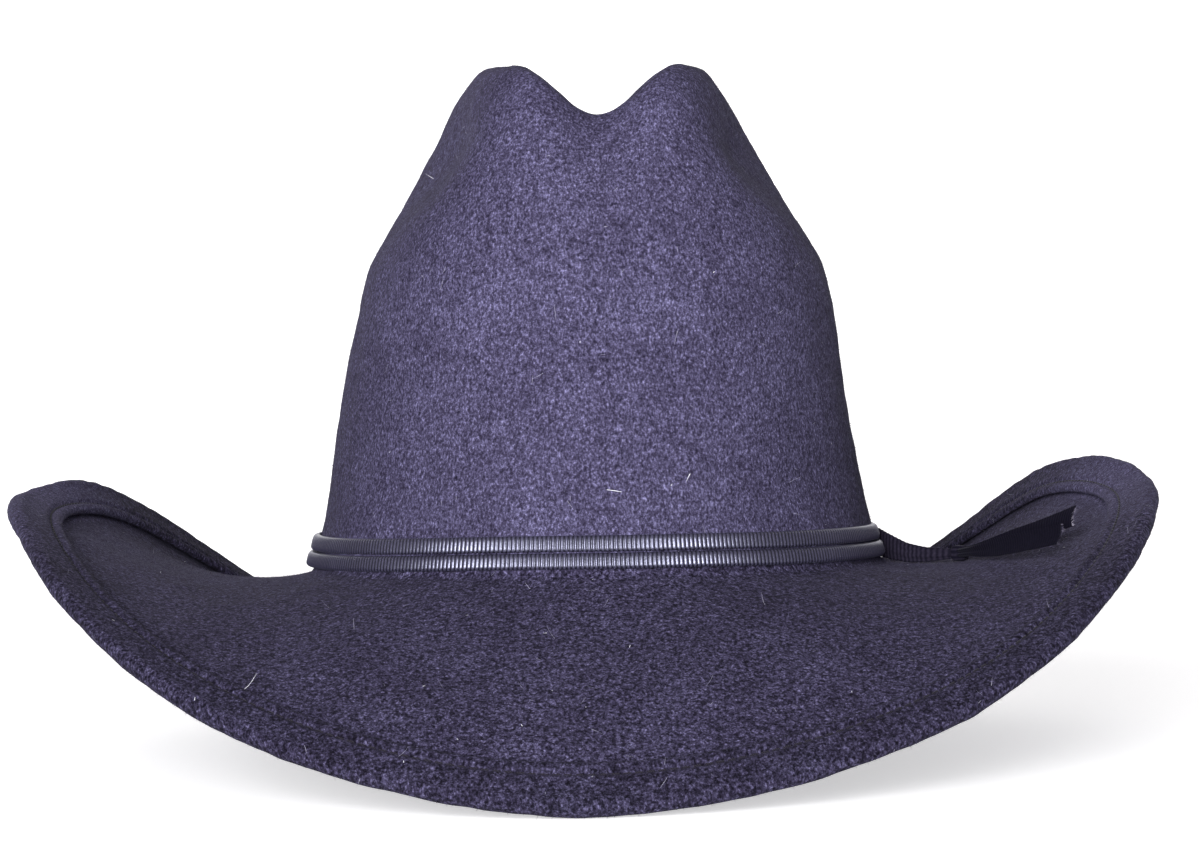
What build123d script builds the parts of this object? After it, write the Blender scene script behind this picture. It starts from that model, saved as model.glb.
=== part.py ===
from build123d import *
from math import cos, exp, hypot, pi, radians, sin, tanh
import os

# A felt western hat with a creased crown, a rolled brim and a narrow grosgrain band.
# Millimetres. +Z is up, +X is the wearer's left and -Y is the front of the hat.
# The origin is the centre of the head opening, where the crown meets the brim.

# Felt and head opening.
FELT = 2.6
BASE_HALF_WIDTH = 86.5
BASE_HALF_LENGTH = 102.5

# Crown outline before creasing: height, half width, half length, shift to the back, squareness.
CROWN = [
    (2.0, 86.5, 102.5, 0.0, 0.0),
    (12.0, 84.0, 100.6, 0.2, 0.0),
    (30.0, 80.6, 97.4, 0.6, 0.01),
    (49.0, 77.5, 94.6, 1.0, 0.02),
    (67.0, 74.9, 92.0, 1.5, 0.03),
    (80.0, 72.4, 90.2, 1.9, 0.04),
    (89.0, 70.2, 88.8, 2.2, 0.05),
    (97.0, 66.8, 87.2, 2.5, 0.06),
    (106.0, 62.4, 85.0, 2.8, 0.08),
    (118.0, 55.8, 82.0, 3.2, 0.1),
    (130.0, 48.8, 78.8, 3.6, 0.11),
    (139.5, 43.0, 75.4, 3.8, 0.12),
    (146.0, 38.4, 71.6, 3.9, 0.12),
    (149.8, 34.6, 67.4, 4.0, 0.12),
    (151.0, 30.5, 62.0, 4.0, 0.12),
]
CROWN_HEIGHT = CROWN[-1][0]
CROWN_TILT = 0.038
CROWN_LEAN = 1.8
INSIDE_RIDGE = (0.94, 0.84, 0.69, 0.51, 0.32, 0.14)

# Centre crease and the two side dents.
CREASE_START = 95.0
CREASE_DEPTH_MIDDLE = 31.0
CREASE_DEPTH_ENDS = 13.5
CREASE_HALF_WIDTH = 26.5
CREASE_HALF_LENGTH = 76.0
CREASE_SIDE_SHIFT = 3.5
CREASE_BACK_SHIFT = 4.0
CREASE_NARROWEST = 0.93
CREASE_WIDENING = 0.12
CREASE_FULL = 149.0
DENT_DEPTH = 10.0
DENT_CENTRE = (-30.0, 121.0)
DENT_REACH = (34.0, 17.0)
DENT_EDGE = 12.0

# Brim: width along the felt, slope beside the crown and at the rim, and how late it curls.
BRIM_WIDTH = {"mean": 102.1, "side_end": -7.9, "left_right": -3.6}
ROOT_SLOPE = {"mean": -22.5, "back_front": -5.1, "left_right": 0.7}
ROOT_SLOPE |= {"side_end": 7.8, "diagonal": 1.0, "third": 2.2, "quarter": -5.5}
RIM_SLOPE = {"mean": 21.5, "back_front": 35.9, "left_right": 0.5}
RIM_SLOPE |= {"side_end": 28.4, "diagonal": 2.4, "third": 1.9, "quarter": -9.1, "sixth": -4.5}
CURL = {"mean": 2.04, "back_front": 0.64, "side_end": -1.46}
BREAK_HEIGHT = {"mean": 2.0, "side_end": -0.8}
BREAK_SLOPE = -80.0
BREAK_RADIUS = 3.0
BRIM_STEPS = 60

# The folded edge: distances in from the rim, and the shape of the fold's inner edge.
FOLD_LIFT = 2.7
RIM_RADIUS = 2.65
FOLD_EDGE = [(17.0, 0.0), (16.1, 0.7), (15.5, 2.1), (13.6, 2.7), (10.8, 2.7), (8.0, 2.7)]
BRIM_NEAR_ARCS = (1.0, 2.2, 3.8, 6.5, 11.0, 18.0, 27.0, 37.0, 47.0, 56.0)
BRIM_FAR_INSETS = (26.0, 20.0)
UNDERSIDE_INSETS = (8.0, 14.0)
RIM_TURNS = (90, 60, 30, 0, -30, -60, -90)
TOP_BUTTON = (3.0, 3.9, 0.35)

# Threads and wire.
STITCH_INSET = 12.0
STITCH_COUNT = 150
STITCH_FILL = 0.62
STITCH_GAP = 0.3
THREAD_RADIUS = 0.3
WIRE_RADIUS = 0.8
WIRE_INSET = 3.4
WIRE_JOIN_ANGLE = 90.0
WIRE_END = 0.3
WIRE_POINTS = 72
FERRULE_TURN = 2.2
FERRULE_POINTS = 4
FERRULE_WALL = 0.5
FERRULE_GAP = 0.06

# Band of two rounded ribbon tiers: bottom, top and how far each stands off the felt.
TIER_LOWER = (1.1, 6.0)
TIER_UPPER = (6.2, 11.1)
TIER_PROUD = 3.0
TIER_PROFILE = [(0.0, 0.25), (0.12, 0.72), (0.5, 1.0), (0.88, 0.72), (1.0, 0.25)]
RIBBON_GAP = 0.35

# Bow at the wearer's left.
BOW_START = (90.4, -2.5, 2.4)
BOW_KNOT = (111.0, -14.0, 1.2)
TAIL_UPPER_END = (140.0, -58.0, 12.8)
TAIL_LOWER_END = (136.5, -71.0, 8.0)
TAIL_THICKNESS = 0.8
TAIL_ROOT_HEIGHT = 3.4
TAIL_UPPER_HEIGHT = 5.6
TAIL_LOWER_HEIGHT = 5.6
TAIL_START = 4.2
TAIL_SIDE_STEP = 0.9
CUT_SLANT = 1.6
NECK_HEIGHT = 4.8
NECK_THICKNESS = 2.4
NECK_ROUNDING = 0.8
NECK_GAP = 0.2
KNOT_LENGTH = 5.0
KNOT_HEIGHT = 5.0
KNOT_DEPTH = 4.6
KNOT_ROUNDING = 1.2

# Sweatband, reed and lining, given as offsets inwards from the outer felt face.
SWEATBAND = {"bottom": 3.6, "top": 34.0, "offset": 4.1, "thickness": 1.0}
REED_TAPE = {"bottom": 1.6, "top": 9.0, "offset": 3.3, "thickness": 0.3}
REED_RADIUS = 1.0
REED_CENTRE = (2.2, 5.0)
REED_TURNS = range(-80, 81, 20)
SWEAT_STITCH_HEIGHT = 6.5
SWEAT_STITCH_COUNT = 96
SEAM_STITCHES = 9
SEAM_WIDTH = 3.0
SEAM_START = 6.0
SEAM_END = 2.0
SEAM_LEAN = 0.7
LINING_LEVELS = [(10.5, 3.4), (30.0, 3.4), (49.0, 3.85), (80.0, 4.65), (97.0, 7.25), (104.0, 9.05)]
LINING_THICKNESS = 0.3
TIP_THICKNESS = 0.5
TIP_STITCH_COUNT = 72
INNER_BOW_HEIGHT = 19.0
INNER_BOW_LOOP = (11.0, 6.0, 0.8)
INNER_BOW_SPREAD = 6.05
INNER_BOW_KNOT = (2.0, 1.28)

ANGLES = [5 * k for k in range(72)]
ALL_ROUND = [k for k in range(len(ANGLES) + 1)]


def around(angle, waves):
    """A size that varies round the hat as a mean value and a few named waves."""
    t = radians(angle)
    shapes = {
        "mean": 1.0,
        "left_right": cos(t),
        "back_front": sin(t),
        "side_end": cos(2 * t),
        "diagonal": sin(2 * t),
        "third": sin(3 * t),
        "quarter": cos(4 * t),
        "sixth": cos(6 * t),
    }
    return sum(amount * shapes[name] for name, amount in waves.items())


def smooth(t):
    """Ease from 0 to 1."""
    t = min(max(t, 0.0), 1.0)
    return t * t * (3 - 2 * t)


def crease_depth(x, y):
    """Depth of the centre crease at a point of the crown's top."""
    along = cos(min(max((y - CREASE_BACK_SHIFT) / CREASE_HALF_LENGTH, -1.0), 1.0) * pi / 2) ** 2
    depth = CREASE_DEPTH_ENDS + (CREASE_DEPTH_MIDDLE - CREASE_DEPTH_ENDS) * along
    half = CREASE_HALF_WIDTH * (CREASE_NARROWEST + CREASE_WIDENING * along)
    across = min(max((x - CREASE_SIDE_SHIFT) / half, -1.0), 1.0)
    return depth * cos(across * pi / 2) ** 2


def dent_depth(y, z):
    """Depth of a side dent at a point of the crown's wall."""
    along = (y - DENT_CENTRE[0]) / DENT_REACH[0]
    up = (z - DENT_CENTRE[1]) / DENT_REACH[1]
    return DENT_DEPTH * exp(-along ** 2 - up ** 2)


def crown_point(station, scale, angle):
    """A point of the crown's outer face, on a station of the outline or inside the top ridge."""
    height, half_width, half_length, shift, square = station
    t = radians(angle)
    fullness = 1 + square * sin(2 * t) ** 2
    x = scale * half_width * cos(t) * fullness + CROWN_LEAN * smooth(height / CROWN_HEIGHT)
    y = scale * half_length * sin(t) * fullness + shift
    z = height + CROWN_TILT * y * smooth(height / CROWN_HEIGHT)
    crease = crease_depth(x, y) * smooth((z - CREASE_START) / (CREASE_FULL - CREASE_START))
    if scale < 1:
        crease = crease_depth(x, y)
    x -= tanh(x / DENT_EDGE) * dent_depth(y, z) * scale ** 3
    return Vector(x, y, z - crease)


def brim_line(angle):
    """The brim's top face at one angle, as steps of distance out, height and slope."""
    width = around(angle, BRIM_WIDTH)
    root = radians(around(angle, ROOT_SLOPE))
    rim = radians(around(angle, RIM_SLOPE))
    curl = around(angle, CURL)
    step = width / BRIM_STEPS
    out = 0.0
    height = around(angle, BREAK_HEIGHT)
    line = []
    for k in range(BRIM_STEPS + 1):
        slope = root + (rim - root) * (k / BRIM_STEPS) ** curl
        slope += (radians(BREAK_SLOPE) - slope) * exp(-((k * step / BREAK_RADIUS) ** 2))
        line.append((out, height, slope))
        out += step * cos(slope)
        height += step * sin(slope)
    return line


def brim_point(angle, arc, lift=0.0, forward=0.0):
    """A point at an arc length from the crown (negative: in from the rim), raised off the face."""
    line = brim_line(angle)
    width = around(angle, BRIM_WIDTH)
    place = (arc if arc > 0 else width + arc) / width * BRIM_STEPS
    low = min(int(place), BRIM_STEPS - 1)
    part = place - low
    out, height, slope = (a + (b - a) * part for a, b in zip(line[low], line[low + 1]))
    out += forward * cos(slope) - lift * sin(slope)
    height += forward * sin(slope) + lift * cos(slope)
    t = radians(angle)
    nx = cos(t) / BASE_HALF_WIDTH
    ny = sin(t) / BASE_HALF_LENGTH
    length = hypot(nx, ny)
    x = BASE_HALF_WIDTH * cos(t) + out * nx / length
    y = BASE_HALF_LENGTH * sin(t) + out * ny / length
    return Vector(x, y, height)


def closed_spline(points):
    """A smooth closed wire through the points of one ring."""
    return Wire([Edge.make_spline(points, periodic=True, parameters=ALL_ROUND)])


def face_rings():
    """Rings of the felt's outer face, from the crown's top to the end of the flat brim."""
    rings = [[crown_point(CROWN[-1], scale, a) for a in ANGLES] for scale in reversed(INSIDE_RIDGE)]
    rings += [[crown_point(station, 1.0, a) for a in ANGLES] for station in reversed(CROWN)]
    rings += [[brim_point(a, arc) for a in ANGLES] for arc in BRIM_NEAR_ARCS]
    rings += [[brim_point(a, -inset) for a in ANGLES] for inset in BRIM_FAR_INSETS]
    return rings


def inner_rings(rings):
    """The same rings moved through the felt's thickness, square to the face."""
    inner = []
    for i in range(len(rings)):
        above = rings[max(i - 1, 0)]
        below = rings[min(i + 1, len(rings) - 1)]
        ring = []
        for k in range(len(ANGLES)):
            round_way = rings[i][(k + 1) % len(ANGLES)] - rings[i][k - 1]
            down_way = below[k] - above[k]
            normal = down_way.cross(round_way).normalized()
            ring.append(rings[i][k] - normal * FELT)
        inner.append(ring)
    return inner


def top_button(drop):
    """The small flat patch at the bottom of the crease, where the rings begin."""
    half_width, half_length, lift = TOP_BUTTON
    top = crown_point(CROWN[-1], 0.0, 0.0) + Vector(0, 0, lift - drop)
    turns = [radians(a) for a in ANGLES]
    return [top + Vector(half_width * cos(t), half_length * sin(t), 0) for t in turns]


def felt_body():
    """Crown and brim in one piece of felt, with the brim's edge folded up and over."""
    face = face_rings()
    inside = inner_rings(face)
    crown_rings = len(INSIDE_RIDGE) + len(CROWN)
    fold = [[brim_point(a, -inset, lift) for a in ANGLES] for inset, lift in FOLD_EDGE]
    for turn in RIM_TURNS:
        lift = RIM_RADIUS * sin(radians(turn))
        forward = RIM_RADIUS * cos(radians(turn))
        fold.append([brim_point(a, -RIM_RADIUS, lift, forward) for a in ANGLES])
    under = [[brim_point(a, -inset, -FELT) for a in ANGLES] for inset in UNDERSIDE_INSETS]
    stretches = [
        [top_button(0)] + face[:crown_rings],
        face[crown_rings - 1:] + fold[:1],
        fold,
        fold[-1:] + under + list(reversed(inside[crown_rings - 1:])),
        list(reversed(inside[:crown_rings])) + [top_button(FELT)],
    ]
    wires = [[closed_spline(ring) for ring in stretch] for stretch in stretches]
    for before, after in zip(wires, wires[1:]):
        after[0] = before[-1]
    faces = [Face(wires[0][0]), Face(wires[-1][-1])]
    for stretch in wires:
        faces += Shell.make_loft(stretch).faces()
    return Solid(Shell(Face.sew_faces(faces)[0]))


def crown_size(height):
    """Half width, half length and shift to the back of the crown at a height."""
    low = max(k for k in range(len(CROWN) - 1) if CROWN[k][0] <= max(height, CROWN[0][0]))
    part = (height - CROWN[low][0]) / (CROWN[low + 1][0] - CROWN[low][0])
    return [CROWN[low][k] + (CROWN[low + 1][k] - CROWN[low][k]) * part for k in (1, 2, 3)]


def crown_oval(height, offset):
    """The crown's outer oval at a height, made larger by an offset."""
    half_width, half_length, shift = crown_size(height)
    return Wire([Edge.make_ellipse(half_width + offset, half_length + offset, Plane((0, shift, height)))])


def oval_point(angle, height, offset):
    """A point on the crown's oval at a height."""
    half_width, half_length, shift = crown_size(height)
    t = radians(angle)
    return Vector((half_width + offset) * cos(t), (half_length + offset) * sin(t) + shift, height)


def oval_ring(outer, inner):
    """A closed ring between two stacks of ovals, each given as heights and offsets."""
    solid = Solid.make_loft([crown_oval(z, offset) for z, offset in outer])
    low, high = inner[0], inner[-1]
    stretched = [(low[0] - 1.0, low[1]), *inner[1:-1], (high[0] + 1.0, high[1])]
    hollow = Solid.make_loft([crown_oval(z, offset) for z, offset in stretched])
    return solid.cut(hollow)


def wall_ring(size):
    """A thin strip standing against the inside of the crown."""
    middle = (size["bottom"] + size["top"]) / 2
    outer = [(z, -size["offset"]) for z in (size["bottom"], middle, size["top"])]
    inner = [(z, offset - size["thickness"]) for z, offset in outer]
    return oval_ring(outer, inner)


def ribbon_tier(tier):
    """One rounded tier of the grosgrain band."""
    bottom, top = tier
    outer = [(bottom + part * (top - bottom), TIER_PROUD * proud) for part, proud in TIER_PROFILE]
    inner = [(bottom, RIBBON_GAP), (top, RIBBON_GAP)]
    return oval_ring(outer, inner)


def thread(start, end, radius=THREAD_RADIUS):
    """One straight stitch between two points."""
    way = end - start
    return Solid.make_cylinder(radius, way.length, Plane(origin=start, z_dir=way))


def brim_edge_stitching():
    """The row of stitches that holds the folded edge down."""
    step = 360.0 / STITCH_COUNT
    lift = FOLD_LIFT + STITCH_GAP + THREAD_RADIUS
    stitches = []
    for k in range(STITCH_COUNT):
        start = brim_point(k * step, -STITCH_INSET, lift)
        end = brim_point((k + STITCH_FILL) * step, -STITCH_INSET, lift)
        stitches.append(thread(start, end))
    return Compound(children=stitches)


def wire_tube(radius, start_angle, end_angle, count):
    """A round tube inside the fold, between two angles."""
    step = (end_angle - start_angle) / count
    points = [brim_point(start_angle + k * step, -WIRE_INSET) for k in range(count + 1)]
    path = Edge.make_spline(points)
    profile = Wire([Edge.make_circle(radius, Plane(origin=path @ 0, z_dir=path % 0))])
    return Solid.sweep(Face(profile), path)


def brim_wire():
    """The springy wire in the fold, with its ends meeting at the back."""
    return wire_tube(WIRE_RADIUS, WIRE_JOIN_ANGLE + WIRE_END, WIRE_JOIN_ANGLE + 360.0 - WIRE_END, WIRE_POINTS)


def brim_wire_ferrule():
    """The crimped tube that joins the wire's ends."""
    start = WIRE_JOIN_ANGLE - FERRULE_TURN
    end = WIRE_JOIN_ANGLE + FERRULE_TURN
    bore = wire_tube(WIRE_RADIUS + FERRULE_GAP, start - WIRE_END, end + WIRE_END, 2 * FERRULE_POINTS)
    return wire_tube(WIRE_RADIUS + FERRULE_WALL, start, end, FERRULE_POINTS).cut(bore)


def bow_frame(end):
    """The knot, a tail's direction from it, and the side it faces."""
    knot = Vector(*BOW_KNOT)
    way = (Vector(*end) - knot).normalized()
    side = Vector(0, 0, 1).cross(way).normalized()
    return knot, way, side


def bow_tail(end, height, step):
    """A flat ribbon tail standing on edge, narrow at the knot and cut on a slant."""
    knot, way, side = bow_frame(end)
    length = (Vector(*end) - knot).length
    plane = Plane(origin=knot + side * step, x_dir=way, z_dir=side)
    outline = Polyline(
        (TAIL_START, -TAIL_ROOT_HEIGHT / 2),
        (length - CUT_SLANT, -height / 2),
        (length, height / 2),
        (TAIL_START, TAIL_ROOT_HEIGHT / 2),
        close=True,
    )
    face = plane * make_face(outline)
    return extrude(face, TAIL_THICKNESS / 2, dir=side, both=True)


def block_between(start, end, height, depth, rounding):
    """A rounded bar between two points, standing upright."""
    way = end - start
    middle = start + way * 0.5
    side = Vector(0, 0, 1).cross(way)
    bar = Plane(origin=middle, x_dir=way, z_dir=way.cross(side)) * Box(way.length, depth, height)
    return fillet(bar.edges(), rounding)


def bow_neck():
    """The gathered ribbon that runs from the band to the knot."""
    start = Vector(*BOW_START)
    knot = Vector(*BOW_KNOT)
    end = knot - (knot - start).normalized() * (KNOT_LENGTH / 2 + NECK_GAP)
    return block_between(start, end, NECK_HEIGHT, NECK_THICKNESS, NECK_ROUNDING)


def bow_knot():
    """The short wrap that pinches the bow together."""
    start = Vector(*BOW_START)
    knot = Vector(*BOW_KNOT)
    half = (knot - start).normalized() * (KNOT_LENGTH / 2)
    return block_between(knot - half, knot + half, KNOT_HEIGHT, KNOT_DEPTH, KNOT_ROUNDING)


def sweatband_reed():
    """The round reed that stiffens the sweatband's lower edge."""
    height, inset = REED_CENTRE
    outer = []
    inner = []
    for turn in REED_TURNS:
        z = height + REED_RADIUS * sin(radians(turn))
        reach = REED_RADIUS * cos(radians(turn))
        outer.append((z, reach - inset))
        inner.append((z, -reach - inset))
    shell = Solid.make_loft([crown_oval(z, offset) for z, offset in outer])
    hollow = Solid.make_loft([crown_oval(z, offset) for z, offset in inner])
    return shell.cut(hollow)


def sweatband_stitching():
    """The row of stitches that joins the sweatband to its reed tape."""
    step = 360.0 / SWEAT_STITCH_COUNT
    offset = -(SWEATBAND["offset"] + SWEATBAND["thickness"] + THREAD_RADIUS)
    stitches = []
    for k in range(SWEAT_STITCH_COUNT):
        start = oval_point(k * step, SWEAT_STITCH_HEIGHT, offset)
        end = oval_point((k + STITCH_FILL) * step, SWEAT_STITCH_HEIGHT, offset)
        stitches.append(thread(start, end))
    return Compound(children=stitches)


def sweatband_back_seam():
    """Crossed stitches that close the sweatband at the back."""
    offset = -(SWEATBAND["offset"] + SWEATBAND["thickness"] + THREAD_RADIUS)
    rise = (SWEATBAND["top"] - SWEATBAND["bottom"] - SEAM_START - SEAM_END) / SEAM_STITCHES
    stitches = []
    for k in range(SEAM_STITCHES):
        low = SWEATBAND["bottom"] + SEAM_START + k * rise
        left = oval_point(90.0, low, offset) + Vector(-SEAM_WIDTH / 2, 0, 0)
        right = oval_point(90.0, low + SEAM_LEAN * rise, offset) + Vector(SEAM_WIDTH / 2, 0, 0)
        stitches.append(thread(left, right))
    return Compound(children=stitches)


def sweatband_bow():
    """The small ribbon bow that covers the sweatband's back seam."""
    length, height, depth = INNER_BOW_LOOP
    offset = -(SWEATBAND["offset"] + SWEATBAND["thickness"] + 4 * THREAD_RADIUS + 2 * depth)
    centre = oval_point(90.0, INNER_BOW_HEIGHT, offset)
    middle = Plane(origin=centre, x_dir=(1, 0, 0), z_dir=(0, -1, 0))
    bow = middle * Cylinder(*INNER_BOW_KNOT)
    for side in (-1, 1):
        loop = extrude(Ellipse(length / 2, height / 2), depth / 2, both=True)
        bow += middle * Pos(side * INNER_BOW_SPREAD, 0, 0) * loop
    return bow


def lining_side():
    """The satin wall of the lining."""
    outer = [(z, -offset) for z, offset in LINING_LEVELS]
    inner = [(z, offset - LINING_THICKNESS) for z, offset in outer]
    return oval_ring(outer, inner)


def lining_tip():
    """The oval satin tip that closes the lining above the head."""
    height, offset = LINING_LEVELS[-1]
    oval = crown_oval(height, -offset)
    return Solid.extrude(Face(oval), Vector(0, 0, TIP_THICKNESS))


def lining_tip_stitching():
    """Stitches that join the lining's tip to its wall."""
    height, offset = LINING_LEVELS[-1]
    step = 360.0 / TIP_STITCH_COUNT
    inset = -(offset + 3 * THREAD_RADIUS)
    stitches = []
    for k in range(TIP_STITCH_COUNT):
        start = oval_point(k * step, height, inset) - Vector(0, 0, THREAD_RADIUS)
        end = oval_point((k + STITCH_FILL) * step, height, inset) - Vector(0, 0, THREAD_RADIUS)
        stitches.append(thread(start, end))
    return Compound(children=stitches)


def main():
    pieces = {
        "felt_body": felt_body(),
        "brim_wire": brim_wire(),
        "brim_wire_ferrule": brim_wire_ferrule(),
        "brim_edge_stitching": brim_edge_stitching(),
        "band_ribbon_lower": ribbon_tier(TIER_LOWER),
        "band_ribbon_upper": ribbon_tier(TIER_UPPER),
        "bow_neck": bow_neck(),
        "bow_knot": bow_knot(),
        "bow_tail_upper": bow_tail(TAIL_UPPER_END, TAIL_UPPER_HEIGHT, TAIL_SIDE_STEP),
        "bow_tail_lower": bow_tail(TAIL_LOWER_END, TAIL_LOWER_HEIGHT, -TAIL_SIDE_STEP),
        "sweatband": wall_ring(SWEATBAND),
        "sweatband_reed": sweatband_reed(),
        "sweatband_reed_tape": wall_ring(REED_TAPE),
        "sweatband_stitching": sweatband_stitching(),
        "sweatband_back_seam": sweatband_back_seam(),
        "sweatband_bow": sweatband_bow(),
        "lining_side": lining_side(),
        "lining_tip": lining_tip(),
        "lining_tip_stitching": lining_tip_stitching(),
    }
    os.makedirs("parts", exist_ok=True)
    for name, piece in pieces.items():
        export_step(piece, f"parts/{name}.step")


main()
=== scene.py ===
import math

import bpy
import numpy as np
from mathutils import Matrix, Vector


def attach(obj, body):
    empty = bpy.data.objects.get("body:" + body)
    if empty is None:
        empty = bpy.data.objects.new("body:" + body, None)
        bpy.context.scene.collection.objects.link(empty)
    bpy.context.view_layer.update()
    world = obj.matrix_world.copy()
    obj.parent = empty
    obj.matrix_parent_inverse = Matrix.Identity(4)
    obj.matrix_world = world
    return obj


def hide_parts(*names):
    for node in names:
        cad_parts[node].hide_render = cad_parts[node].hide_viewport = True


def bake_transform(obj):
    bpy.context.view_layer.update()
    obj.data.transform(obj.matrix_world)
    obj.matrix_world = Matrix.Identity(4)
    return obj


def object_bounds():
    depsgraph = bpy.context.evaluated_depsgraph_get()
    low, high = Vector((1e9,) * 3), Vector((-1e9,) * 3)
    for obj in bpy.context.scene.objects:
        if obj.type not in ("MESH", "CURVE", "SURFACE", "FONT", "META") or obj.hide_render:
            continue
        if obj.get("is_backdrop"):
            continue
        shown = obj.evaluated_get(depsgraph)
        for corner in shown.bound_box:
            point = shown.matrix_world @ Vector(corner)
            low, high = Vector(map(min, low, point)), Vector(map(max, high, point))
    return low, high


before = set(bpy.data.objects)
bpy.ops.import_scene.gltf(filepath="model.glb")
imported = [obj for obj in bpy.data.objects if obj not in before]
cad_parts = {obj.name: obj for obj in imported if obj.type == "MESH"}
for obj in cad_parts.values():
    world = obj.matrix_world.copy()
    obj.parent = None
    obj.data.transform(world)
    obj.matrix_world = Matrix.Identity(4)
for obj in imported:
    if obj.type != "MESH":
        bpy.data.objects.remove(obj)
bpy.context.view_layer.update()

# A felt western hat with a creased crown, a rolled brim, a two-tier grosgrain band and a side bow.
# Shapes are worked out in millimetres and made in metres. +X is the wearer's left, -Y is the front.
MM = 0.001
RANDOM = np.random.default_rng(7)

# Felt and head opening.
FELT = 2.6
BASE_HALF_WIDTH = 86.5
BASE_HALF_LENGTH = 102.5

# Crown outline before creasing: height, half width, half length, shift to the back, squareness.
CROWN = np.array([
    (2.0, 86.5, 102.5, 0.0, 0.0),
    (12.0, 84.0, 100.6, 0.2, 0.0),
    (30.0, 80.6, 97.4, 0.6, 0.01),
    (49.0, 77.5, 94.6, 1.0, 0.02),
    (67.0, 74.9, 92.0, 1.5, 0.03),
    (80.0, 72.4, 90.2, 1.9, 0.04),
    (89.0, 70.2, 88.8, 2.2, 0.05),
    (97.0, 66.8, 87.2, 2.5, 0.06),
    (106.0, 62.4, 85.0, 2.8, 0.08),
    (118.0, 55.8, 82.0, 3.2, 0.1),
    (130.0, 48.8, 78.8, 3.6, 0.11),
    (139.5, 43.0, 75.4, 3.8, 0.12),
    (146.0, 38.4, 71.6, 3.9, 0.12),
    (149.8, 34.6, 67.4, 4.0, 0.12),
    (151.0, 30.5, 62.0, 4.0, 0.12),
])
CROWN_HEIGHT = CROWN[-1][0]
CROWN_TILT = 0.038
CROWN_LEAN = 1.8
RIDGE = len(CROWN) - 1

# Centre crease and the two side dents.
CREASE_START = 95.0
CREASE_DEPTH_MIDDLE = 31.0
CREASE_DEPTH_ENDS = 13.5
CREASE_HALF_WIDTH = 26.5
CREASE_HALF_LENGTH = 76.0
CREASE_SIDE_SHIFT = 3.5
CREASE_BACK_SHIFT = 4.0
CREASE_NARROWEST = 0.93
CREASE_WIDENING = 0.12
CREASE_FULL = 149.0
DENT_DEPTH = 10.0
DENT_CENTRE = (-30.0, 121.0)
DENT_REACH = (34.0, 17.0)
DENT_EDGE = 12.0

# Brim: width along the felt, slope beside the crown and at the rim, and how late it curls.
BRIM_WIDTH = {"mean": 102.1, "side_end": -7.9, "left_right": -3.6}
ROOT_SLOPE = {"mean": -22.5, "back_front": -5.1, "left_right": 0.7}
ROOT_SLOPE |= {"side_end": 7.8, "diagonal": 1.0, "third": 2.2, "quarter": -5.5}
RIM_SLOPE = {"mean": 21.5, "back_front": 35.9, "left_right": 0.5}
RIM_SLOPE |= {"side_end": 28.4, "diagonal": 2.4, "third": 1.9, "quarter": -9.1, "sixth": -4.5}
CURL = {"mean": 2.04, "back_front": 0.64, "side_end": -1.46}
BREAK_HEIGHT = {"mean": 2.0, "side_end": -0.8}
BREAK_SLOPE = -80.0
BREAK_RADIUS = 3.0
BRIM_STEPS = 240

# Painted shade and light on the felt: how much darker the brim and edge are painted at front and back, and
# how much lighter the edge is painted at its sides.
# The value kept at each point is a share of the range below, the lightest painted shade; the value after it
# paints no shade.
BRIM_PAINTED_SHADE = 0.34
EDGE_PAINTED_SHADE = 0.54
EDGE_PAINTED_LIGHT = 0.4
PAINTED_SHADE_RANGE = 2.0
PAINTED_SHADE_NONE = 1 / PAINTED_SHADE_RANGE
NAP_FIBRES = 60000
LINT_SPECKS = 110
HAIR_SHARE = 0.07
STRAY_FIBRES = 420
FIBRE_WIDTH = 0.09
LINT_WIDTH = 0.16

# The folded edge in section: distance in from the rim and height above the brim's top face.
FOLD_GAP = [(17.6, 0.0), (16.6, 0.0), (15.4, 0.0), (14.0, 0.02), (12.4, 0.04), (10.6, 0.1)]
FOLD_LAYER = [(10.0, 0.2), (10.6, 0.34), (12.4, 0.42), (14.0, 0.62), (15.2, 0.9), (15.9, 1.25),
              (16.25, 1.8), (16.2, 2.5), (15.7, 3.2), (14.9, 3.62), (13.9, 3.66), (13.1, 3.4),
              (12.5, 2.75), (12.0, 2.45), (11.5, 2.75), (10.9, 3.3), (10.0, 3.45), (8.6, 3.4),
              (7.2, 3.3), (5.8, 3.2), (4.4, 3.1)]
FOLD_LOOSE_FROM = 9
FOLD_WAVE = {"size": 60, "amount": 0.55, "seed": 3}
FOLD_LIFT_WAVE = {"size": 45, "amount": 0.22, "seed": 5}
RIM_CENTRE = (3.0, 0.25)
RIM_RADIUS = 2.85
STITCH_INSET = 12.0
STITCH_PITCH = 3.1
STITCH_FILL = 0.72
STITCH_LIFT = 2.6
THREAD_RADIUS = 0.3
UNDERSIDE_START = 6.0

# Small rounded rods (place along, fatness) and fibres (place along, width left).
ROD_SECTIONS = ((0.0, 0.25), (0.08, 0.8), (0.3, 1.0), (0.7, 1.0), (0.92, 0.8), (1.0, 0.25))
FIBRE_SECTIONS = ((0.0, 1.0), (0.35, 0.9), (0.7, 0.6), (1.0, 0.15))

# Band of two rounded ribbon tiers: bottom, top and how far each stands off the felt.
TIER_LOWER = (0.9, 5.9, 2.5)
TIER_UPPER = (5.9, 10.9, 2.2)
TIER_GROOVE = 0.45
TIER_INSET = 0.3
TIER_ROUNDING = 0.6
TIER_FULLNESS = 0.45
TIER_FOLD = ((0.85, 0.25), (0.5, 1.8), (0.15, 0.25))
BAND_DIP = 0.8
RIB_PITCH = 1.42
RIB_DEPTH = 0.28

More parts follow.
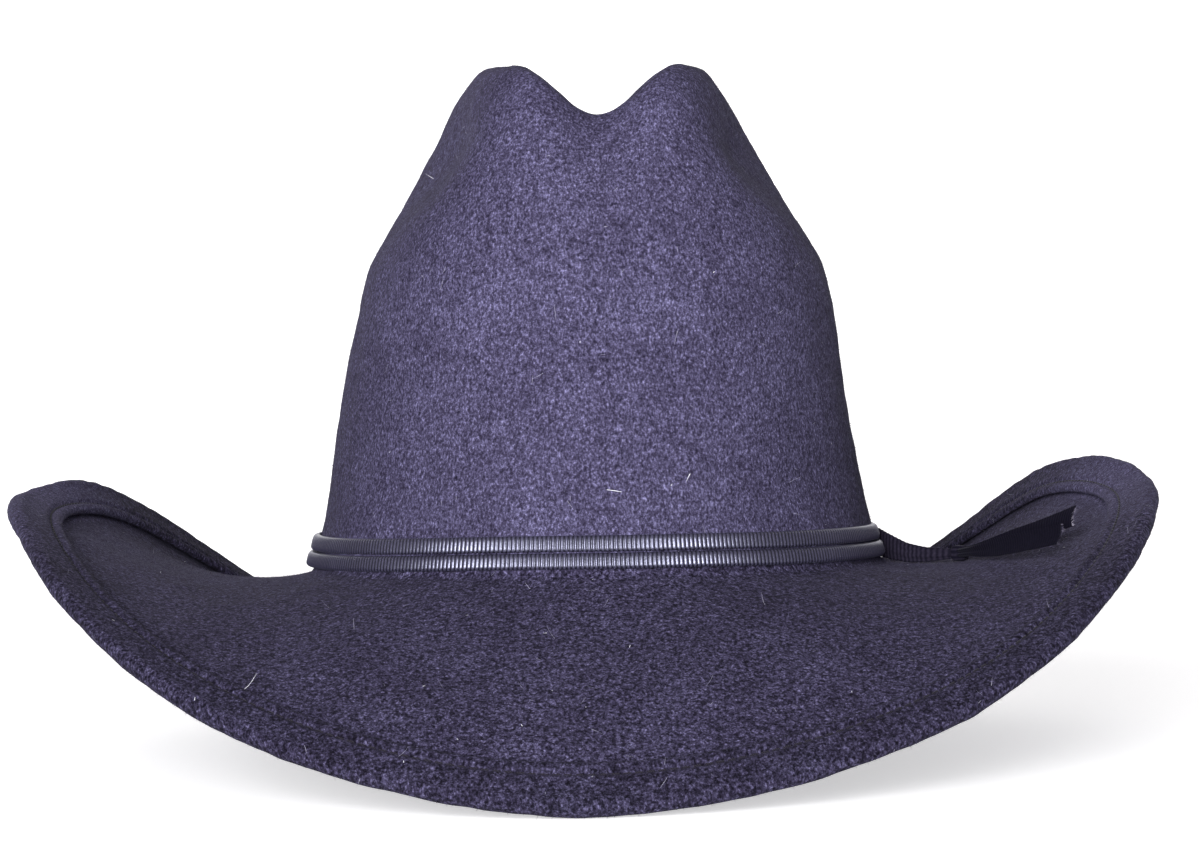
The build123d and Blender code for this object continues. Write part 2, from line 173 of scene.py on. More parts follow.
# Bow at the wearer's left.
BOW_KNOT = np.array((111.0, -14.0, 0.5))
NECK_PATH = np.array([
    (86.6, -1.0, 4.2), (90.5, -2.6, 2.4), (95.5, -5.2, 0.6), (101.0, -8.4, 0.0), (108.8, -12.8, 0.3),
])
NECK_HEIGHTS = (8.8, 7.8, 6.0, 4.6, 3.2)
NECK_THICKNESS = 2.4
NECK_RIBS = 18
KNOT_HALF_LENGTH = 2.3
KNOT_RADIUS = 1.75
KNOT_RIBS = 10
# Low rib values that paint the neck, knot and tails darker as shade, and how far they change from rib to rib.
NECK_PAINTED_SHADE = 0.42
KNOT_PAINTED_SHADE = 0.35
TAIL_PAINTED_SHADE = 0.35
SHADE_CHANGE = 0.1
TAILS = {
    "bow_tail_upper": {"end": (140.0, -58.0, 12.8), "width": 5.6, "side": 1, "body": "tail_upper"},
    "bow_tail_lower": {"end": (136.5, -71.0, 8.0), "width": 5.6, "side": -1, "body": "tail_lower"},
}
TAIL_START = 1.8
TAIL_SIDE_STEP = 0.9
TAIL_ROOT_HALF = 1.4
TAIL_OPENING = 2.1
TAIL_SLANT = 1.7
TAIL_PLEAT = 1.1
TAIL_CUP = 0.6
TAIL_SWEEP = 1.3
TAIL_SAG = 0.5
TAIL_RIB_PITCH = 1.3
TAIL_RIB = 0.1
FRAYED_THREADS = 55
RIBBON_THICKNESS = 0.5

# Inside the hat: offsets inwards from the outer felt face.
SWEATBAND = {"bottom": 3.4, "top": 34.2, "offset": 4.1, "thickness": 1.0}
LINING_LEVELS = np.array([
    (10.5, 3.4), (30.0, 3.4), (40.0, 3.75), (49.0, 4.05), (80.0, 4.85), (97.0, 7.45), (104.0, 9.25),
])
LINING_THICKNESS = 0.3
LINING_GATHER_START = 36.0
LINING_GATHER_RISE = 66.0
LINING_GATHER = 0.9
LINING_FOLDS = 58
TIP_DOME = 2.6
INNER_BOW_HEIGHT = 19.0
INNER_BOW_GAP = 2.4

# Camera: distance in front, height, height it looks at, sideways shift, focal length and roll.
CAMERA_DISTANCE = 1309.7
CAMERA_HEIGHT = 58.4
CAMERA_TARGET = 40.9
CAMERA_SIDE = 2.1
CAMERA_LENS = 127.6
CAMERA_ROLL = 1.13

# Stage in millimetres: front end, start of the bend, bend's radius, wall height and half width.
STAGE_FRONT = -2600
STAGE_BACK = 900
STAGE_BEND = 700
STAGE_TOP = 1500
STAGE_HALF_WIDTH = 1500
STAGE_GAP = 0.3

# Light: the key's place, target and size in metres, its watts, and the surround.
KEY_PLACE = (-0.28, -1.9, 0.28)
KEY_TARGET = (0.0, 0.0, 0.06)
KEY_SIZE = 0.7
KEY_POWER = 90
SURROUND_COLOUR = (1.0, 0.95, 0.98, 1)
SURROUND_STRENGTH = 0.24


# --- shape of the felt -------------------------------------------------------

def around(t, waves):
    """A size that varies round the hat as a mean value and a few named waves."""
    shapes = {
        "mean": np.ones_like(t),
        "left_right": np.cos(t),
        "back_front": np.sin(t),
        "side_end": np.cos(2 * t),
        "diagonal": np.sin(2 * t),
        "third": np.sin(3 * t),
        "quarter": np.cos(4 * t),
        "sixth": np.cos(6 * t),
    }
    return sum(amount * shapes[name] for name, amount in waves.items())


def full_turn(count):
    """Angles all the way round, without the last."""
    return np.linspace(0, 2 * np.pi, count, endpoint=False)


def unit(rows):
    """Each row made one long."""
    return rows / np.linalg.norm(rows, axis=1, keepdims=True)


def smooth(t):
    """Ease from 0 to 1."""
    t = np.clip(t, 0.0, 1.0)
    return t * t * (3 - 2 * t)


def crease_depth(x, y):
    """Depth of the centre crease."""
    along = np.cos(np.clip((y - CREASE_BACK_SHIFT) / CREASE_HALF_LENGTH, -1, 1) * np.pi / 2) ** 2
    depth = CREASE_DEPTH_ENDS + (CREASE_DEPTH_MIDDLE - CREASE_DEPTH_ENDS) * along
    half = CREASE_HALF_WIDTH * (CREASE_NARROWEST + CREASE_WIDENING * along)
    return depth * np.cos(np.clip((x - CREASE_SIDE_SHIFT) / half, -1, 1) * np.pi / 2) ** 2


def crown_station(w):
    """The outline's size at a running number, as a smooth curve through its stations."""
    w = np.clip(w, 0, RIDGE)
    i = np.minimum(w.astype(int), RIDGE - 1)
    t = (w - i)[:, None]
    p1, p2 = CROWN[i], CROWN[i + 1]
    p0 = np.where((i == 0)[:, None], 2 * p1 - p2, CROWN[np.maximum(i - 1, 0)])
    p3 = np.where((i == RIDGE - 1)[:, None], 2 * p2 - p1, CROWN[np.minimum(i + 2, RIDGE)])
    return 0.5 * (2 * p1 + (p2 - p0) * t + (2 * p0 - 5 * p1 + 4 * p2 - p3) * t ** 2
                  + (3 * p1 - p0 - 3 * p2 + p3) * t ** 3)


def crown_face(w, t):
    """Points of the crown's outer face. Past the ridge's number, rings close in to the crease."""
    scale = np.where(w > RIDGE, RIDGE + 1 - w, 1.0)[:, None]
    height, half_width, half_length, shift, square = [column[:, None] for column in crown_station(w).T]
    fullness = 1 + square * np.sin(2 * t)[None] ** 2
    lean = smooth(height / CROWN_HEIGHT)
    x = scale * half_width * np.cos(t)[None] * fullness + CROWN_LEAN * lean
    y = scale * half_length * np.sin(t)[None] * fullness + shift
    z = height + CROWN_TILT * y * lean
    crease = crease_depth(x, y) * smooth((z - CREASE_START) / (CREASE_FULL - CREASE_START))
    crease = np.where(scale < 1, crease_depth(x, y), crease)
    far_along = (y - DENT_CENTRE[0]) / DENT_REACH[0]
    far_up = (z - DENT_CENTRE[1]) / DENT_REACH[1]
    dent = DENT_DEPTH * np.exp(-far_along ** 2 - far_up ** 2)
    x = x - np.tanh(x / DENT_EDGE) * dent * scale ** 3
    return np.stack([x, y, z - crease], -1)


class Brim:
    """The brim's top face at a set of angles, as distance out, height and slope by arc length."""

    def __init__(self, t):
        self.t = t
        self.width = around(t, BRIM_WIDTH)
        root = np.radians(around(t, ROOT_SLOPE))
        rim = np.radians(around(t, RIM_SLOPE))
        u = np.linspace(0, 1, BRIM_STEPS + 1)[:, None]
        slope = root + (rim - root) * u ** around(t, CURL)
        near = np.exp(-((u * self.width / BREAK_RADIUS) ** 2))
        slope = slope + (math.radians(BREAK_SLOPE) - slope) * near
        step = self.width / BRIM_STEPS
        start = np.zeros((1, len(t)))
        self.slope = slope
        self.out = np.vstack([start, np.cumsum(np.cos((slope[1:] + slope[:-1]) / 2), 0) * step])
        self.height = np.vstack([start, np.cumsum(np.sin((slope[1:] + slope[:-1]) / 2), 0) * step])
        self.height += around(t, BREAK_HEIGHT)

    def point(self, arc, lift=0.0):
        """Points at an arc length, or in from the rim where it is negative, raised off the face."""
        place = np.where(np.asarray(arc) > 0, arc, self.width + arc) / self.width * BRIM_STEPS
        low = np.clip(place.astype(int), 0, BRIM_STEPS - 1)
        part = place - low
        k = np.arange(len(self.t))
        curves = (self.out, self.height, self.slope)
        out, height, slope = [a[low, k] + (a[low + 1, k] - a[low, k]) * part for a in curves]
        out = out - lift * np.sin(slope)
        height = height + lift * np.cos(slope)
        nx = np.cos(self.t) / BASE_HALF_WIDTH
        ny = np.sin(self.t) / BASE_HALF_LENGTH
        length = np.hypot(nx, ny)
        x = BASE_HALF_WIDTH * np.cos(self.t) + out * nx / length
        y = BASE_HALF_LENGTH * np.sin(self.t) + out * ny / length
        return np.stack([x, y, height], -1)


def ripple(points, size, amount, count=18, seed=1):
    """Gentle unevenness: a sum of waves in random directions, about the given size across."""
    rng = np.random.default_rng(seed)
    total = np.zeros(points.shape[:-1])
    for _ in range(count):
        way = rng.normal(size=3)
        way *= 2 * np.pi / (size * rng.uniform(0.7, 1.6) * np.linalg.norm(way))
        total += np.sin(points @ way + rng.uniform(0, 2 * np.pi))
    return total * amount / math.sqrt(count)


def round_ripple(t, size, amount, seed):
    """Gentle unevenness of a line that runs round the hat."""
    return ripple(np.stack([np.cos(t), np.sin(t), 0 * t], -1) * 100, size, amount, seed=seed)


def grid_normals(points):
    """Unit normals of a grid of points whose columns run round the hat."""
    down = np.gradient(points, axis=0)
    across = np.roll(points, -1, 1) - np.roll(points, 1, 1)
    normal = np.cross(down, across)
    return normal / (np.linalg.norm(normal, axis=-1, keepdims=True) + 1e-12)


def oval_size(height):
    """Half width, half length and shift of the crown's oval at heights."""
    return [np.interp(height, CROWN[:, 0], CROWN[:, k]) for k in (1, 2, 3)]


def oval(t, height, offset):
    """Points on the crown's oval, made larger by an offset."""
    half_width, half_length, shift = oval_size(height)
    x = (half_width + offset) * np.cos(t)
    y = (half_length + offset) * np.sin(t) + shift
    return np.stack([x, y, height + 0 * t], -1)


# --- meshes ------------------------------------------------------------------

def make_piece(name, points, faces, material, body="hat"):
    """A smooth mesh piece in metres from points in millimetres and faces of four corners."""
    corners = np.asarray(faces, np.int32)
    mesh = bpy.data.meshes.new(name)
    sizes = np.full(len(corners), 4, np.int32)
    starts = (4 * np.arange(len(corners))).astype(np.int32)
    mesh.vertices.add(len(points))
    mesh.vertices.foreach_set("co", (np.asarray(points, float) * MM).astype(np.float32).ravel())
    mesh.loops.add(corners.size)
    mesh.loops.foreach_set("vertex_index", corners.ravel())
    mesh.polygons.add(len(sizes))
    mesh.polygons.foreach_set("loop_start", starts)
    mesh.polygons.foreach_set("loop_total", sizes)
    mesh.polygons.foreach_set("use_smooth", np.ones(len(sizes), bool))
    mesh.update(calc_edges=True)
    mesh.validate()
    mesh.materials.append(material)
    piece = bpy.data.objects.new(name, mesh)
    bpy.context.scene.collection.objects.link(piece)
    if body:
        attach(piece, body)
    return piece


def grid_faces(rows, columns, close_rows=False, close_columns=True):
    """Quads of a grid, joined round on itself where asked."""
    i = np.arange(rows if close_rows else rows - 1)[:, None]
    j = np.arange(columns if close_columns else columns - 1)[None]
    i2 = (i + 1) % rows
    j2 = (j + 1) % columns
    quads = np.stack([i * columns + j, i2 * columns + j, i2 * columns + j2, i * columns + j2], -1)
    return quads.reshape(-1, 4)


def grid_piece(name, points, material, body="hat", **closing):
    """A piece made of one grid of points."""
    rows, columns = points.shape[:2]
    return make_piece(name, points.reshape(-1, 3), grid_faces(rows, columns, **closing), material, body)


def mark_points(piece, name, values):
    """Keep a value at each point, for the piece's material."""
    layer = piece.data.attributes.new(name, "FLOAT", "POINT")
    layer.data.foreach_set("value", np.asarray(values, np.float32).ravel())


def capsules(starts, ends, radius, sides=6):
    """Points and faces of small rounded rods between pairs of points."""
    axis = ends - starts
    helper = np.where(np.abs(unit(axis)[:, 2:3]) < 0.9, [[0.0, 0.0, 1.0]], [[1.0, 0.0, 0.0]])
    u = unit(np.cross(axis, helper))
    v = np.cross(unit(axis), u)
    turn = full_turn(sides)
    circle = u[:, None] * np.cos(turn)[None, :, None] + v[:, None] * np.sin(turn)[None, :, None]
    rings = []
    for place, fatness in ROD_SECTIONS:
        centre = starts + axis * place
        rings.append(centre[:, None] + circle * radius * fatness)
    points = np.stack(rings, 1)
    count, ring_count = points.shape[:2]
    one = grid_faces(ring_count, sides)
    offset = (np.arange(count) * ring_count * sides)[:, None, None]
    return points.reshape(-1, 3), (one[None] + offset).reshape(-1, 4)


def fibres(roots, ways, normals, lengths, width, curl):
    """Points and faces of short curved fibres, each a tapering strip."""
    side = np.cross(ways, normals)
    side /= np.linalg.norm(side, axis=1, keepdims=True) + 1e-9
    bend = np.cross(ways, side)
    points = []
    for place, thin in FIBRE_SECTIONS:
        centre = roots + ways * (lengths * place)[:, None]
        centre = centre + bend * (curl * lengths * place ** 2)[:, None]
        points.append(centre - side * width * thin / 2)
        points.append(centre + side * width * thin / 2)
    points = np.stack(points, 1)
    one = np.array([(0, 1, 3, 2), (2, 3, 5, 4), (4, 5, 7, 6)])
    offset = (np.arange(len(roots)) * 8)[:, None, None]
    return points.reshape(-1, 3), (one[None] + offset).reshape(-1, 4)


# --- materials ---------------------------------------------------------------

def new_material(name, roughness, **settings):
    """A material with its shader; settings go straight on the shader's sockets."""
    material = bpy.data.materials.new(name)
    material.use_nodes = True
    shader = material.node_tree.nodes["Principled BSDF"]
    shader.inputs["Roughness"].default_value = roughness
    for socket, value in settings.items():
        shader.inputs[socket.replace("_", " ")].default_value = value
    return material, material.node_tree, shader


def object_space(tree, scale=(1, 1, 1)):
    """Object coordinates, stretched by a scale."""
    coordinates = tree.nodes.new("ShaderNodeTexCoord")
    mapping = tree.nodes.new("ShaderNodeMapping")
    mapping.inputs["Scale"].default_value = scale
    tree.links.new(coordinates.outputs["Object"], mapping.inputs["Vector"])
    return mapping.outputs["Vector"]


def noise(tree, vector, scale, detail=2.0, roughness=0.6):
    """A noise texture's value."""
    node = tree.nodes.new("ShaderNodeTexNoise")
    node.inputs["Scale"].default_value = scale
    node.inputs["Detail"].default_value = detail
    node.inputs["Roughness"].default_value = roughness
    tree.links.new(vector, node.inputs["Vector"])
    return node.outputs["Fac"]


def ramp(tree, value, stops):
    """Colours along a value."""
    node = tree.nodes.new("ShaderNodeValToRGB")
    while len(node.color_ramp.elements) < len(stops):
        node.color_ramp.elements.new(0.5)
    for element, (place, colour) in zip(node.color_ramp.elements, stops):
        element.position = place
        element.color = (*colour, 1)
    tree.links.new(value, node.inputs["Fac"])
    return node.outputs["Color"]


def point_value(tree, name):
    """A value kept at the mesh's points."""
    node = tree.nodes.new("ShaderNodeAttribute")
    node.attribute_name = name
    return node.outputs["Fac"]


def mix(tree, kind, factor, first, second):
    """Two colours mixed; factor is a number or a socket."""
    node = tree.nodes.new("ShaderNodeMix")
    node.data_type = "RGBA"
    node.blend_type = kind
    if isinstance(factor, float):
        node.inputs["Factor"].default_value = factor
    else:
        tree.links.new(factor, node.inputs["Factor"])
    tree.links.new(first, node.inputs[6])
    tree.links.new(second, node.inputs[7])
    return node.outputs[2]


def bump(tree, shader, height, strength, distance):
    """Raise the surface by a height value."""
    node = tree.nodes.new("ShaderNodeBump")
    node.inputs["Strength"].default_value = strength
    node.inputs["Distance"].default_value = distance
    tree.links.new(height, node.inputs["Height"])
    tree.links.new(node.outputs["Normal"], shader.inputs["Normal"])


def lines(tree, scale, distortion=0.0):
    """Slanting lines across the object."""
    node = tree.nodes.new("ShaderNodeTexWave")
    node.bands_direction = "DIAGONAL"
    node.inputs["Scale"].default_value = scale
    node.inputs["Distortion"].default_value = distortion
    tree.links.new(object_space(tree), node.inputs["Vector"])
    return node.outputs["Fac"]


def painted_light_and_shade(tree):
    """Painted light and shade kept at each point, as a colour to multiply by."""
    return ramp(tree, point_value(tree, "nap_and_painted_shade"), [(0.0, (0.0, 0.0, 0.0)), (1.0, (PAINTED_SHADE_RANGE,) * 3)])


def felt_material():
    """Dark violet-grey wool felt: speckled fibres with slow shade changes, with painted shade on brim and
    edge at front and back and painted light on the edge at its sides.
    """
    material, tree, shader = new_material("wool_felt", 0.98, Sheen_Weight=0.015, Sheen_Roughness=0.5,
                                          Sheen_Tint=(0.75, 0.7, 1.0, 1), Specular_IOR_Level=0.05)
    space = object_space(tree)
    nap_and_painted_shade = noise(tree, object_space(tree, (1, 1, 0.7)), 1500, 4.0, 0.75)
    speckle = ramp(tree, nap_and_painted_shade, [(0.3, (0.006, 0.005, 0.011)), (0.45, (0.022, 0.019, 0.037)),
                               (0.56, (0.048, 0.044, 0.082)), (0.72, (0.15, 0.142, 0.245))])
    clouds = ramp(tree, noise(tree, space, 42, 3.0, 0.6),
                  [(0.3, (0.84, 0.82, 0.85)), (0.7, (1.12, 1.12, 1.13))])
    tufts = ramp(tree, noise(tree, space, 560, 3.0, 0.7),
                 [(0.35, (0.66, 0.64, 0.68)), (0.62, (1.34, 1.34, 1.36))])
    grain = ramp(tree, noise(tree, space, 820, 2.0, 0.6),
                 [(0.38, (0.38, 0.37, 0.38)), (0.62, (1.6, 1.58, 1.6))])
    # Stronger grain only where the brim and edge are painted darker.
    grain_where_painted_darker = ramp(tree, point_value(tree, "nap_and_painted_shade"), [(0.35, (1.0, 1.0, 1.0)), (0.5, (0.0, 0.0, 0.0))])
    clouds = mix(tree, "MULTIPLY", 1.0, clouds, tufts)
    # Painted shade and light multiplied in: brim and edge darker at front and back, edge lighter at its
    # sides.
    tone = mix(tree, "MULTIPLY", 1.0, mix(tree, "MULTIPLY", 1.0, speckle, clouds), painted_light_and_shade(tree))
    tone = mix(tree, "MULTIPLY", grain_where_painted_darker, tone, grain)
    tree.links.new(tone, shader.inputs["Base Color"])
    bump(tree, shader, noise(tree, space, 900, 3.0, 0.65), 0.6, 0.0006)
    return material


def fibre_material(name, dark, light):
    """Loose wool fibres, lighter here and there, with the painted shade and light of the felt beneath
    multiplied in.
    """
    material, tree, shader = new_material(name, 0.95, Specular_IOR_Level=0.05)
    value = noise(tree, object_space(tree), 220, 2.0, 0.6)
    tone = ramp(tree, value, [(0.42, dark), (0.66, light)])
    # Painted shade and light of the felt multiplied in.
    tone = mix(tree, "MULTIPLY", 1.0, tone, painted_light_and_shade(tree))
    tree.links.new(tone, shader.inputs["Base Color"])
    return material


def ribbon_material(name, ridge_colour, gloss, roughness):
    """Black-violet rayon grosgrain: painted shade between its ribs, with a gloss along each."""
    material, tree, shader = new_material(name, roughness, Sheen_Weight=0.02, Sheen_Roughness=0.35,
                                          Sheen_Tint=(0.75, 0.75, 1.0, 1), Specular_IOR_Level=gloss,
                                          Specular_Tint=(0.74, 0.76, 1.0, 1))
    space = object_space(tree)
    fine = noise(tree, space, 1500, 2.0, 0.6)
    # Painted shade: near black where the rib value is low, in the grooves, on each tier's fold and all over
    # the neck, knot and tails.
    rib = ramp(tree, point_value(tree, "ridge"), [(0.3, (0.003, 0.0025, 0.006)), (0.85, ridge_colour)])
    shade = ramp(tree, fine, [(0.3, (0.7, 0.7, 0.7)), (0.7, (1.2, 1.2, 1.2))])
    slow = ramp(tree, noise(tree, space, 55, 2.0, 0.5),
                [(0.3, (0.85, 0.83, 0.86)), (0.7, (1.1, 1.1, 1.1))])
    tone = mix(tree, "MULTIPLY", 1.0, mix(tree, "MULTIPLY", 1.0, rib, shade), slow)
    tree.links.new(tone, shader.inputs["Base Color"])
    bump(tree, shader, fine, 0.3, 0.0002)
    return material


def thread_material(name, dark, light):
    """Twisted sewing thread."""
    material, tree, shader = new_material(name, 0.75, Sheen_Weight=0.05, Specular_IOR_Level=0.15)
    twist = lines(tree, 900)
    tree.links.new(ramp(tree, twist, [(0.2, dark), (0.8, light)]), shader.inputs["Base Color"])
    bump(tree, shader, twist, 0.4, 0.0002)
    return material


def leather_material():
    """Smooth dark brown sweatband leather with a fine pebble grain."""
    material, tree, shader = new_material("sweatband_leather", 0.48, Specular_IOR_Level=0.45,
                                          Coat_Weight=0.08)
    space = object_space(tree)
    cells = tree.nodes.new("ShaderNodeTexVoronoi")
    cells.inputs["Scale"].default_value = 1100
    tree.links.new(space, cells.inputs["Vector"])
    tone = ramp(tree, noise(tree, space, 70, 4.0, 0.6),
                [(0.3, (0.028, 0.015, 0.01)), (0.7, (0.075, 0.042, 0.027))])
    pores = ramp(tree, cells.outputs["Distance"], [(0.0, (1.1, 1.1, 1.1)), (0.8, (0.72, 0.7, 0.7))])
    tree.links.new(mix(tree, "MULTIPLY", 0.8, tone, pores), shader.inputs["Base Color"])
    bump(tree, shader, cells.outputs["Distance"], 0.35, 0.0004)
    return material


def satin_material():
    """Dark satin with a fine twill line and a soft gloss."""
    material, tree, shader = new_material("lining_satin", 0.34, Sheen_Weight=0.3, Specular_IOR_Level=0.7)
    twill = lines(tree, 700, 1.5)
    tone = ramp(tree, noise(tree, object_space(tree), 90, 3.0, 0.5),
                [(0.3, (0.028, 0.022, 0.05)), (0.7, (0.055, 0.047, 0.09))])
    line = ramp(tree, twill, [(0.2, (0.85, 0.85, 0.85)), (0.8, (1.1, 1.1, 1.1))])
    tree.links.new(mix(tree, "MULTIPLY", 1.0, tone, line), shader.inputs["Base Color"])
    bump(tree, shader, twill, 0.15, 0.0002)
    return material


def tape_material():
    """Plain woven cotton tape."""
    material, tree, shader = new_material("reed_tape_cotton", 0.85, Sheen_Weight=0.2)
    checks = tree.nodes.new("ShaderNodeTexChecker")
    checks.inputs["Scale"].default_value = 1600
    tree.links.new(object_space(tree), checks.inputs["Vector"])
    checks.inputs["Color1"].default_value = (0.02, 0.018, 0.028, 1)
    checks.inputs["Color2"].default_value = (0.04, 0.037, 0.055, 1)
    tree.links.new(checks.outputs["Color"], shader.inputs["Base Color"])
    bump(tree, shader, checks.outputs["Fac"], 0.4, 0.0002)
    return material


def plain_material(name, colours, roughness, metallic, scale):
    """Moulded plastic or metal with a faint drawn grain."""
    material, tree, shader = new_material(name, roughness, Metallic=metallic)
    grain = noise(tree, object_space(tree), scale, 3.0, 0.6)
    tree.links.new(ramp(tree, grain, [(0.35, colours[0]), (0.65, colours[1])]), shader.inputs["Base Color"])
    bump(tree, shader, grain, 0.15, 0.0002)
    return material


def stage_material():
    """Pale matt paper for the floor and backdrop."""
    material, tree, shader = new_material("studio_paper", 0.95, Specular_IOR_Level=0.1, Emission_Strength=0.5,
                                          Emission_Color=(1, 1, 1, 1))
    grain = noise(tree, object_space(tree), 12, 2.0, 0.5)
    tone = ramp(tree, grain, [(0.3, (0.93, 0.93, 0.935)), (0.7, (0.95, 0.95, 0.955))])
    tree.links.new(tone, shader.inputs["Base Color"])
    return material


# --- felt --------------------------------------------------------------------

def felt_rows(t):
    """All rows of the felt's skin, from the crease's middle over the brim and back up inside."""
    brim = Brim(t)
    narrow = RIDGE + 1 - np.geomspace(0.03, 1.0, 46)
    wall = np.concatenate([np.linspace(RIDGE, 10, 50)[1:], np.linspace(10, 0, 110)[1:]])
    crown = crown_face(np.concatenate([narrow, wall]), t)
    edge_wave = round_ripple(t, **FOLD_WAVE)
    arcs = np.concatenate([np.linspace(0.35, 6, 14), np.linspace(6, 30, 20)[1:]])
    flat = [brim.point(np.full(len(t), arc)) for arc in arcs]
    reach = brim.width - FOLD_GAP[0][0] - arcs[-1]
    flat += [brim.point(arcs[-1] + reach * part) for part in np.linspace(0, 1, 46)[1:-1]]
    fold = [brim.point(-inset + edge_wave * (inset > FOLD_LOOSE_FROM), lift) for inset, lift in FOLD_GAP]
    lift_wave = round_ripple(t, **FOLD_LIFT_WAVE)
    for inset, lift in FOLD_LAYER:
        loose = smooth((inset - 10.0) / 6.0)
        fold.append(brim.point(-inset + edge_wave * (inset > FOLD_LOOSE_FROM), lift + lift_wave * loose))
    inset, lift = RIM_CENTRE
    turns = np.radians(np.linspace(80, -80, 17))
    rim = [brim.point(np.full(len(t), -inset) + RIM_RADIUS * math.cos(a), lift + RIM_RADIUS * math.sin(a))
           for a in turns]
    reach = brim.width - inset - UNDERSIDE_START
    under = [brim.point(-inset - reach * part, -FELT) for part in np.linspace(0, 1, 60)]
    top = np.stack([*crown, *flat])
    normal = grid_normals(top)
    turn_rows = 14
    inside = (top - normal * FELT)[:len(crown) + turn_rows:2][::-1]
    # Painted shade and light: brim and underside painted darker at front and back, the edge painted darker
    # there and lighter at its sides.
    front_back = smooth(np.abs(np.sin(t)) * 1.6)
    shades = [(len(crown), 0.0, 0.0), (len(flat), BRIM_PAINTED_SHADE, 0.0),
              (len(fold) + len(rim), EDGE_PAINTED_SHADE, EDGE_PAINTED_LIGHT), (len(under), BRIM_PAINTED_SHADE, 0.0),
              (len(inside), 0.0, 0.0)]
    nap_and_painted_shade = np.concatenate([np.tile(1 - darker * front_back + lighter * (1 - front_back), (count, 1))
                          for count, darker, lighter in shades]) / PAINTED_SHADE_RANGE
    return top, np.stack(fold), np.stack(rim), np.stack(under), inside, nap_and_painted_shade


def felt_piece(materials):
    """Crown and brim in one piece of felt, with the edge folded up and over."""
    t = full_turn(600)
    top, fold, rim, under, inside, nap_and_painted_shade = felt_rows(t)
    rows = np.concatenate([top, fold, rim, under, inside])
    normal = grid_normals(rows)
    uneven = ripple(rows, 9, 0.1, seed=11) + ripple(rows, 28, 0.22, seed=12) + ripple(rows, 70, 0.35, seed=13)
    keep = np.ones(len(rows))
    keep[len(top) - 4:len(top) + len(fold)] = 0.15
    rows = rows + normal * (uneven * keep[:, None])[..., None]
    piece = grid_piece("felt_crown_and_brim", rows, materials["felt"])
    # Keep the painted shade and light at each point for the material.
    mark_points(piece, "nap_and_painted_shade", nap_and_painted_shade)
    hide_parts("felt_body")
    return rows, normal, nap_and_painted_shade, len(top) + len(fold) + len(rim)


def scatter(rows, normal, nap_and_painted_shade, outside_count, count):
    """Random places on the felt's outside, spread evenly by area, each with a way to lie and the painted
    shade kept there.
    """
    across = np.roll(rows, -1, 1)[:-1] - rows[:-1]
    area = np.linalg.norm(np.cross(np.diff(rows, axis=0), across), axis=-1)
    area = area[:outside_count - 1].ravel()
    pick = RANDOM.choice(len(area), size=count, p=area / area.sum())
    i = pick // rows.shape[1]
    j = pick % rows.shape[1]
    part = RANDOM.uniform(size=(count, 1))
    place = rows[i, j] * (1 - part) + rows[i + 1, j] * part
    up = normal[i, j]
    random = RANDOM.normal(size=(count, 3))
    along = unit(random - up * (random * up).sum(1, keepdims=True))
    return place, up, along, nap_and_painted_shade[i, j]


def nap_piece(skin, materials):
    """The felt's raised fibres, lying at all angles."""
    count = NAP_FIBRES
    place, up, along, shade = scatter(*skin, count)
    rise = RANDOM.uniform(0.15, 0.95, size=(count, 1))
    way = unit(along + up * rise)
    length = RANDOM.uniform(0.5, 1.5, count)
    points, faces = fibres(place - up * 0.1, way, up, length, FIBRE_WIDTH, RANDOM.uniform(-0.4, 0.4, count))
    piece = make_piece("felt_nap", points, faces, materials["nap_and_painted_shade"])
    # Each fibre takes the painted shade of the felt at its root.
    mark_points(piece, "nap_and_painted_shade", np.repeat(shade, 8))


def lint_piece(skin, materials):
    """A few pale specks and hairs caught in the felt's fibres, with no painted shade."""
    count = LINT_SPECKS
    place, up, along, _ = scatter(*skin, count)
    length = RANDOM.uniform(0.4, 1.2, count)
    hairs = RANDOM.uniform(size=count) > 1 - HAIR_SHARE
    length[hairs] = RANDOM.uniform(3.0, 6.0, hairs.sum())
    curl = RANDOM.uniform(-0.6, 0.6, count)
    points, faces = fibres(place + up * 0.35, along, up, length, LINT_WIDTH, curl)
    piece = make_piece("felt_lint", points, faces, materials["lint"])
    # The plain value: no painted shade.
    mark_points(piece, "nap_and_painted_shade", np.full(len(points), PAINTED_SHADE_NONE))


def stray_piece(skin, materials):
    """Longer wool hairs that have worked loose."""
    count = STRAY_FIBRES
    place, up, along, _ = scatter(*skin, count)
    length = RANDOM.uniform(1.5, 4.5, count)
    curl = RANDOM.uniform(-0.9, 0.9, count)
    points, faces = fibres(place + up * 0.3, along, up, length, FIBRE_WIDTH, curl)
    piece = make_piece("felt_stray_fibres", points, faces, materials["stray"])
    # The plain value: no painted shade.
    mark_points(piece, "nap_and_painted_shade", np.full(len(points), PAINTED_SHADE_NONE))


def edge_stitching(materials):
    """Sewing thread along the folded edge, sunk into the felt at each end."""
    fine = full_turn(2400)
    line = Brim(fine).point(np.full(len(fine), -STITCH_INSET), 0.0)
    run = np.concatenate([[0], np.cumsum(np.linalg.norm(np.diff(line, axis=0), axis=1))])
    count = int(run[-1] / STITCH_PITCH)
    places = np.arange(count) * run[-1] / count
    wave = round_ripple(fine, **FOLD_WAVE)
    ends = []
    for place in (places, places + STITCH_FILL * STITCH_PITCH):
        t = np.interp(place, run, fine)
        ends.append(Brim(t).point(-STITCH_INSET + np.interp(t, fine, wave), STITCH_LIFT))
    points, faces = capsules(*ends, THREAD_RADIUS)
    piece = make_piece("brim_edge_thread", points, faces, materials["thread"])
    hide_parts("brim_edge_stitching")


# --- ribbon band and bow -----------------------------------------------------

